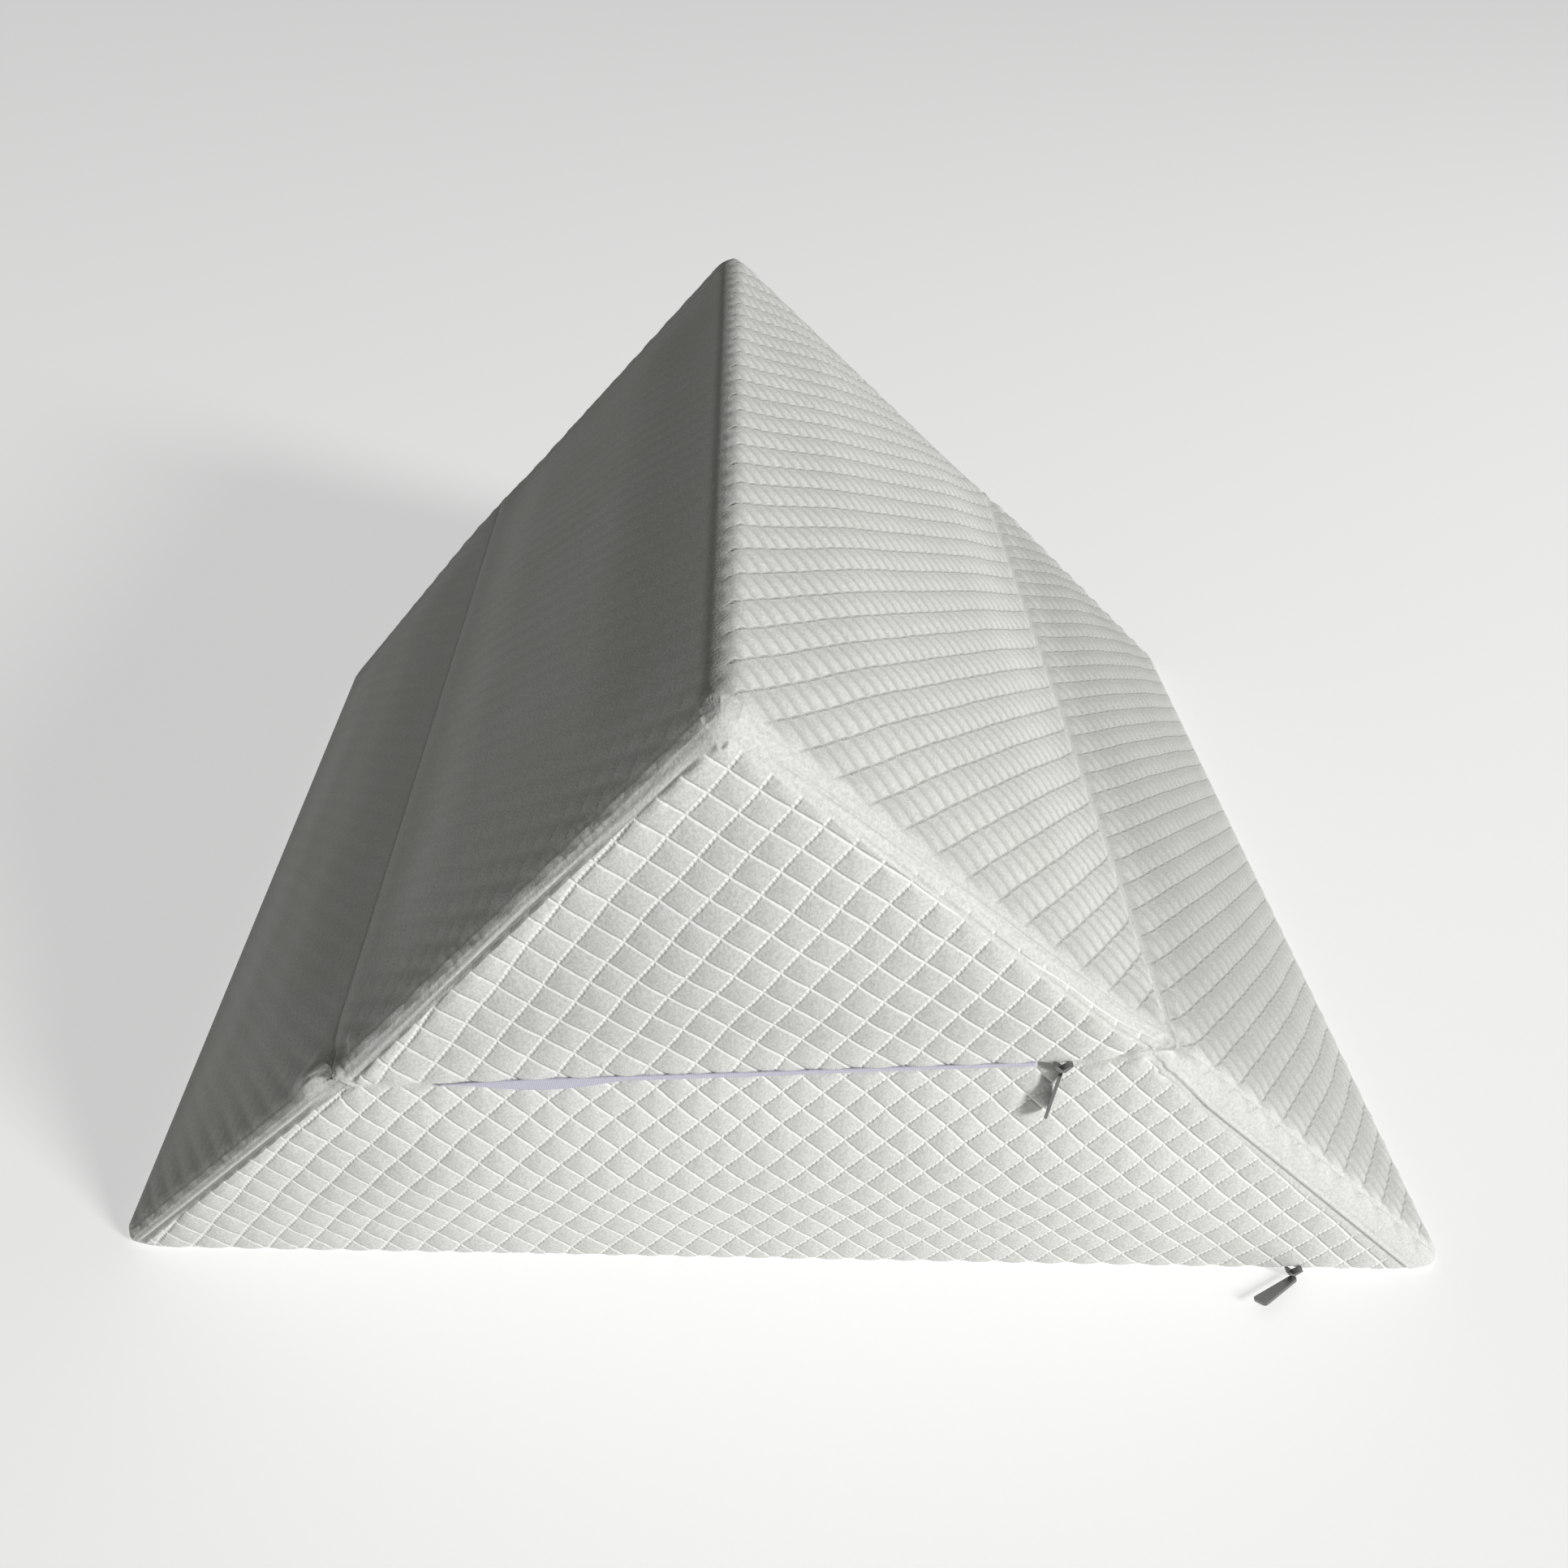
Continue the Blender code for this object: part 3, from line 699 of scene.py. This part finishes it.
def dressed_cushion(cushion):
    """The finished mesh of one cushion, with its quilt lines in a UV map."""
    bm, outlines = fine_block(cushion)
    name = cushion + "_cover"
    mesh = bpy.data.meshes.new(name)
    bmesh.ops.recalc_face_normals(bm, faces=bm.faces)
    bm.to_mesh(mesh)
    bm.free()
    count = len(mesh.vertices)
    points = np.empty(count * 3)
    mesh.vertices.foreach_get("co", points)
    points = points.reshape(-1, 3)
    moved = points.copy()
    shows = np.zeros(count)
    panel_painted_lights = np.ones(count)
    end_painted_line_lights = np.ones(count)
    lifted = np.zeros(count, bool)
    sewn_in = np.zeros(count, bool)  # points of the end panels' own cloth
    slopes = [np.array(normal) for kind, normal, _, _ in panels_of(cushion) if kind.endswith("slope")]
    places = []
    for panel, outline in zip(panels_of(cushion), outlines):
        member, flat, outward = laid_flat(points, panel, outline)
        a, b = lattice(flat, panel)
        shown = quilting_shown(flat, panel, outline)
        crown = np.full(count, CROWN)
        for point, inward in outline:
            crown *= smooth(np.maximum((flat - point) @ inward, 0) / CROWN_REACH)
        face_kind = panel[0].split("_")[1]
        height = PUFF_RISE[face_kind] * shown
        by_end = smooth((np.abs(flat[:, 1]) - BY_END[0]) / BY_END[1])
        if panel[3] < 0:
            height = height * (SHADED_SHARE + BY_END_RISE * by_end)
        for place, power, share in zip((a, b), PUFF_POWER[face_kind], LINE_SHARE[face_kind]):
            height = height * (1 - share + share * puff(place, power))
        lift = crown + height
        edge_reach = np.min([(flat - point) @ inward for point, inward in outline], 0)
        # Painted light and shade: the panel's colour is scaled lighter or darker towards its middle, for how the light
        # falls on that panel.
        painted_light = PANEL_PAINTED_LIGHT[panel[0]] if panel[3] > 0 else LEFT_SLOPE_PAINTED_LIGHT
        tone = 1 + (painted_light - 1) * smooth(edge_reach / PAINTED_LIGHT_REACH)
        if face_kind == "slope":
            dip = np.where(member, valley(flat, panel, outline), 0)
            moved[:, 0] -= panel[3] * dip / abs(panel[1].x)
            shown = shown * LINE_SHOWN[panel[3]] ** (1 - BY_END_SHOWN * by_end)
        for side, out in from_seams(points, flat, panel, outline):
            lift += seam_profile(out, side) * smooth((SEAM_TOP - points[:, 2]) / 0.007)
        new = member & ~lifted
        moved[new] += (lift[:, None] * outward)[new]
        lifted |= new
        shows[new] = shown[new]
        panel_painted_lights[new] = tone[new]
        # The end panels' quilt lines take a painted highlight, the slopes' lines painted shade.
        end_painted_line_lights[new] = face_kind == "end"
        if face_kind == "end":
            sewn_in |= member
        places.append((member if face_kind == "end" else member & ~sewn_in, a, b))
    # The plain band beside each sewn seam puckers a little across the stitches.
    for end in (-1, 1):
        beyond = end * points[:, 1] - (LENGTH / 2 - END_ROLL)
        for side, slope in zip((-1, 1), slopes):
            top = float(np.array((RIDGE_X, 0, HEIGHT)) @ slope)
            under = top - points @ slope
            band = (beyond > 0) & (under < END_ROLL) & (under > -0.0001)
            round_roll = END_ROLL * np.arccos(np.clip(beyond / END_ROLL, 0, 1))
            out = round_roll - seam_out(cushion, side, points)
            along = points @ np.cross(slope, (0, 1, 0))
            drift = 1.7 * np.sin(along / 0.021) + 1.2 * np.sin(out / 0.004 + along / 0.011)
            wave = np.sin(2 * math.pi * along / PUCKER_PITCH + drift)
            in_band = smooth((out - 0.001) / 0.002) * smooth((0.014 - out) / 0.009)
            strength = in_band * (0.6 + 0.4 * np.sin(along / 0.013))
            rise = PUCKER_RISE[side > 0] * wave * strength * smooth((SEAM_TOP - 0.004 - points[:, 2]) / 0.015)
            moved[band] += rise[band, None] * (slope + (0, end, 0)) / math.sqrt(2)
    points_moved = rumpled(cushion, joined(cushion, moved))
    mesh.vertices.foreach_set("co", points_moved.ravel())
    # Faces that lie in one panel's cloth take its quilt places; plain faces take the middle of a cell.
    totals = np.empty(len(mesh.polygons), np.int32)
    starts = np.empty(len(mesh.polygons), np.int32)
    corner = np.empty(len(mesh.loops), np.int32)
    mesh.polygons.foreach_get("loop_total", totals)
    mesh.polygons.foreach_get("loop_start", starts)
    mesh.loops.foreach_get("vertex_index", corner)
    face_of = np.repeat(np.arange(len(mesh.polygons)), totals)
    uv = np.full((len(mesh.loops), 2), 0.5)
    for member, a, b in places:
        whole = np.add.reduceat(member[corner].astype(int), starts) == totals
        chosen = whole[face_of]
        uv[chosen] = np.stack([a[corner[chosen]], b[corner[chosen]]], 1)
    layer = mesh.uv_layers.new(name="quilt_lines")
    layer.data.foreach_set("uv", uv.ravel())
    for label, values in (("quilting_shown", shows), ("panel_painted_light", panel_painted_lights), ("line_white", end_painted_line_lights)):
        mesh.attributes.new(label, "FLOAT", "POINT").data.foreach_set("value", values)
    mesh.shade_smooth()
    mesh.update()
    piece = bpy.data.objects.new(name, mesh)
    bpy.context.scene.collection.objects.link(piece)
    print(name, "has", sum(totals - 2), "triangles")
    return piece


print("quilting rises, mm:", {kind: 1000 * rise for kind, rise in PUFF_RISE.items()})

# %% [markdown]
# ## Material: quilted polyester knit
# The cover is a jersey knit of polyester yarn, brushed soft and bonded to thin wadding. It gives the
# eye a matt, slightly warm white with a fine grain and a faint sheen at the edges. The crisp crease on
# each quilt line is narrower than the mesh, so it is a bump drawn from the quilt's own UV map, and its
# colour is painted light: a painted highlight on the end panels and painted shade on the slopes.

# %% Knit material
GRAIN_SIZE = 0.0013
TONE_PATCH = 0.060


def knit_material():
    material = bpy.data.materials.new("quilted_polyester_knit")
    material.use_nodes = True
    tree = material.node_tree
    shader = tree.nodes["Principled BSDF"]
    place = add(tree, "ShaderNodeTexCoord")
    lines = add(tree, "ShaderNodeUVMap", uv_map="quilt_lines")
    split = add(tree, "ShaderNodeSeparateXYZ", links={"Vector": lines.outputs["UV"]})
    lines_at, nears = [], []
    for axis in ("X", "Y"):
        near = add(tree, "ShaderNodeMath", operation="PINGPONG", values={1: 0.5}, links={0: split.outputs[axis]})
        line_at = add(
            tree, "ShaderNodeMapRange", interpolation_type="SMOOTHSTEP",
            values={"From Min": 0.0, "From Max": 0.095, "To Min": 1.0, "To Max": 0.0},
            links={"Value": near.outputs[0]},
        )
        lines_at.append(line_at)
        nears.append(near)
    shown = add(tree, "ShaderNodeAttribute", attribute_name="quilting_shown")
    # 1 on the end panels, where the lines get a painted highlight and sharp creases; 0 on the slopes, where they get
    # painted shade and soft valleys.
    white = add(tree, "ShaderNodeAttribute", attribute_name="line_white")
    painted_light = add(tree, "ShaderNodeAttribute", attribute_name="panel_painted_light")
    # Family B is sewn with longer stitches, so its line comes and goes along family A's count.
    stitch = add(tree, "ShaderNodeMath", operation="MULTIPLY", values={1: 5.0}, links={0: split.outputs["X"]})
    stitch = add(tree, "ShaderNodeMath", operation="PINGPONG", values={1: 0.5}, links={0: stitch.outputs[0]})
    stitch = add(
        tree, "ShaderNodeMapRange", interpolation_type="SMOOTHSTEP",
        values={"From Min": 0.02, "From Max": 0.30, "To Min": 0.45}, links={"Value": stitch.outputs[0]},
    )
    line_b = add(tree, "ShaderNodeMath", operation="MULTIPLY", links={0: lines_at[1].outputs[0], 1: stitch.outputs[0]})
    # On the slopes the cloth is slack across family A, so its lines are broad soft valleys between ribs,
    # and the lines of family B are a little shallower than on the ends.
    soft_a = add(
        tree, "ShaderNodeMapRange", interpolation_type="SMOOTHSTEP",
        values={"From Min": 0.0, "From Max": 0.32, "To Min": 0.55, "To Max": 0.0},
        links={"Value": nears[0].outputs[0]},
    )
    line_a = add(
        tree, "ShaderNodeMix", data_type="FLOAT",
        links={"Factor": white.outputs["Fac"], "A": soft_a.outputs[0], "B": lines_at[0].outputs[0]},
    )
    depth_b = add(
        tree, "ShaderNodeMapRange", values={"To Min": 0.75, "To Max": 1.0}, links={"Value": white.outputs["Fac"]}
    )
    line_b = add(tree, "ShaderNodeMath", operation="MULTIPLY", links={0: line_b.outputs[0], 1: depth_b.outputs[0]})
    crease = add(tree, "ShaderNodeMath", operation="MAXIMUM", links={0: line_a.outputs["Result"], 1: line_b.outputs[0]})
    crease = add(
        tree, "ShaderNodeMath", operation="MULTIPLY", links={0: crease.outputs[0], 1: shown.outputs["Fac"]}
    )
    top = add(tree, "ShaderNodeMath", operation="SUBTRACT", values={0: 1.0}, links={1: crease.outputs[0]})
    # Brushed yarn, seen as a fine grain, and a slow change of tone over the cloth.
    grain = add(
        tree, "ShaderNodeTexNoise", values={"Scale": 1 / GRAIN_SIZE, "Detail": 2.0, "Roughness": 0.65},
        links={"Vector": place.outputs["Object"]},
    )
    uneven = add(
        tree, "ShaderNodeTexNoise", values={"Scale": 1 / TONE_PATCH, "Detail": 2.0},
        links={"Vector": place.outputs["Object"]},
    )
    tone = add(
        tree, "ShaderNodeMix", data_type="RGBA",
        values={"A": (*linear("#D6D6D0"), 1), "B": (*linear("#E2E3E1"), 1)},
        links={"Factor": uneven.outputs["Fac"]},
    )
    flecks = add(
        tree, "ShaderNodeMapRange",
        values={"From Min": 0.3, "From Max": 0.7, "To Min": 0.86, "To Max": 1.11},
        links={"Value": grain.outputs["Fac"]},
    )
    yarn = add(
        tree, "ShaderNodeVectorMath", operation="SCALE",
        links={"Vector": tone.outputs["Result"], "Scale": flecks.outputs[0]},
    )
    # Painted light and shade: the yarn colour is scaled by each panel's painted lightness.
    yarn = add(
        tree, "ShaderNodeVectorMath", operation="SCALE",
        links={"Vector": yarn.outputs["Vector"], "Scale": painted_light.outputs["Fac"]},
    )
    # The colour on a quilt line is painted light. On the ends it is a painted highlight, whiter than the puffs, where
    # the light meets the line squarely; on the slopes it is painted shade, darker, where the line stays in the puffs'
    # shade.
    line = add(
        tree, "ShaderNodeMix", data_type="RGBA",
        values={"A": (*linear("#BCBCB6"), 1), "B": (*linear("#F8F9F6"), 1)}, links={"Factor": white.outputs["Fac"]},
    )
    shade = add(
        tree, "ShaderNodeMix", data_type="RGBA",
        links={"Factor": crease.outputs[0], "A": yarn.outputs["Vector"], "B": line.outputs["Result"]},
    )
    crease_bump = add(
        tree, "ShaderNodeBump", values={"Strength": 0.75, "Distance": 0.00065}, links={"Height": top.outputs[0]}
    )
    grain_bump = add(
        tree, "ShaderNodeBump", values={"Strength": 0.6, "Distance": 0.0004},
        links={"Height": grain.outputs["Fac"], "Normal": crease_bump.outputs["Normal"]},
    )
    tree.links.new(shade.outputs["Result"], shader.inputs["Base Color"])
    tree.links.new(grain_bump.outputs["Normal"], shader.inputs["Normal"])
    shader.inputs["Roughness"].default_value = 0.9
    shader.inputs["Specular IOR Level"].default_value = 0.25
    shader.inputs["Sheen Weight"].default_value = 0.10
    shader.inputs["Sheen Roughness"].default_value = 0.6
    return material


knit = knit_material()
for cushion in LEVELS:
    cover = dressed_cushion(cushion)
    cover.data.materials.append(knit)
    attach(cover, "root")
    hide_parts(cushion + "_cushion")

# %% [markdown]
# ## Material: nickel-plated zinc
# Sliders and pulls are die-cast zinc with a polished nickel plate. Small castings keep soft edges and
# faint ripples, so a slight noise in the roughness breaks up the mirror.

# %% Metal on the sliders and pulls
RIPPLE_SIZE = 0.002


def nickel_material():
    material = bpy.data.materials.new("nickel_plated_zinc")
    material.use_nodes = True
    tree = material.node_tree
    shader = tree.nodes["Principled BSDF"]
    place = add(tree, "ShaderNodeTexCoord")
    ripple = add(
        tree, "ShaderNodeTexNoise", values={"Scale": 1 / RIPPLE_SIZE, "Detail": 2.0},
        links={"Vector": place.outputs["Object"]},
    )
    rough = add(
        tree, "ShaderNodeMapRange", values={"To Min": 0.2, "To Max": 0.42}, links={"Value": ripple.outputs["Fac"]}
    )
    tree.links.new(rough.outputs[0], shader.inputs["Roughness"])
    shader.inputs["Base Color"].default_value = (*linear("#858685"), 1)
    shader.inputs["Metallic"].default_value = 1.0
    return material


nickel = nickel_material()
for node in ("upper_zip_slider", "upper_zip_pull", "lower_zip_slider", "lower_zip_pull"):
    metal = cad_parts[node]
    for index in range(len(metal.material_slots)):
        metal.material_slots[index].material = nickel

# %% [markdown]
# ## Zip tape
# A zip's tape is woven polyester, here dyed lilac. Only its lower edge shows: a line under the joint
# that widens to a shallow lens where the cover gapes. It is a narrow grid with a real thickness.

# %% Zip tape
TAPE_LEFT = -0.130
TAPE_RIGHT = 0.104
TAPE_DEPTH = 0.0013
TAPE_THICKNESS = 0.0008
TAPE_OVERLAP = 0.0010  # how far it covers the dark gap of the joint
LENS_MIDDLE = -0.098
LENS_HALF = 0.042
LENS_DEPTH = 0.0034
TAPE_TAPER = 0.040  # how far its left end takes to reach full depth
TAPE_THINS = (0.45, -0.02, 0.07)  # how much depth it loses to the right, from where and over how far
LENS_LEAN = 0.0006  # how far the lens stands off the cushion
THREAD_PITCH = 0.0005


def joint_height(x):
    """Height of the joint between the cushions along the near end."""
    return settled("lower", np.stack([x, np.full_like(x, -LENGTH / 2), np.full_like(x, SPLIT)], 1))[:, 2]


def zip_tape():
    bm = bmesh.new()
    bmesh.ops.create_grid(bm, x_segments=160, y_segments=16, size=0.5)
    places = np.array([vert.co for vert in bm.verts])
    x = TAPE_LEFT + (places[:, 0] + 0.5) * (TAPE_RIGHT - TAPE_LEFT)
    down = 0.5 - places[:, 1]
    lens = smooth(np.maximum(1 - ((x - LENS_MIDDLE) / LENS_HALF) ** 2, 0))
    # It tapers to nothing at the left, and to about the half at the right.
    taper = smooth((x - TAPE_LEFT) / TAPE_TAPER)
    loss, start, width = TAPE_THINS
    depth = (TAPE_DEPTH * (1 - loss * smooth((x - start) / width)) + LENS_DEPTH * lens) * taper
    overlap = TAPE_OVERLAP * taper
    z = joint_height(x) + overlap - (overlap + depth) * down
    face = np.stack([x, np.full_like(x, -LENGTH / 2), np.minimum(z, SPLIT)], 1)
    y = joined("lower", face)[:, 1] - GAP - TAPE_THICKNESS - LENS_LEAN * down * lens
    for vert, place in zip(bm.verts, np.stack([x, y, z], 1)):
        vert.co = place
    bmesh.ops.recalc_face_normals(bm, faces=bm.faces)
    bmesh.ops.solidify(bm, geom=bm.faces[:], thickness=TAPE_THICKNESS)
    bmesh.ops.recalc_face_normals(bm, faces=bm.faces)
    mesh = bpy.data.meshes.new("zip_tape_edge")
    bm.to_mesh(mesh)
    bm.free()
    mesh.shade_smooth()
    piece = bpy.data.objects.new("zip_tape_edge", mesh)
    bpy.context.scene.collection.objects.link(piece)
    return piece


def tape_material():
    material = bpy.data.materials.new("woven_polyester_tape")
    material.use_nodes = True
    tree = material.node_tree
    shader = tree.nodes["Principled BSDF"]
    place = add(tree, "ShaderNodeTexCoord")
    # A wave texture of scale 1 repeats about every 0.314 m.
    weave = add(
        tree, "ShaderNodeTexWave", values={"Scale": 0.314 / THREAD_PITCH, "Distortion": 1.0},
        links={"Vector": place.outputs["Object"]}, bands_direction="X",
    )
    bump = add(
        tree, "ShaderNodeBump", values={"Strength": 0.4, "Distance": 0.0002}, links={"Height": weave.outputs["Fac"]}
    )
    tone = add(
        tree, "ShaderNodeMix", data_type="RGBA",
        values={"A": (*linear("#C2C1D4"), 1), "B": (*linear("#D6D5E2"), 1)}, links={"Factor": weave.outputs["Fac"]},
    )
    tree.links.new(tone.outputs["Result"], shader.inputs["Base Color"])
    tree.links.new(bump.outputs["Normal"], shader.inputs["Normal"])
    shader.inputs["Roughness"].default_value = 0.8
    return material


tape = zip_tape()
tape.data.materials.append(tape_material())
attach(tape, "root")
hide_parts("upper_zip_tape")
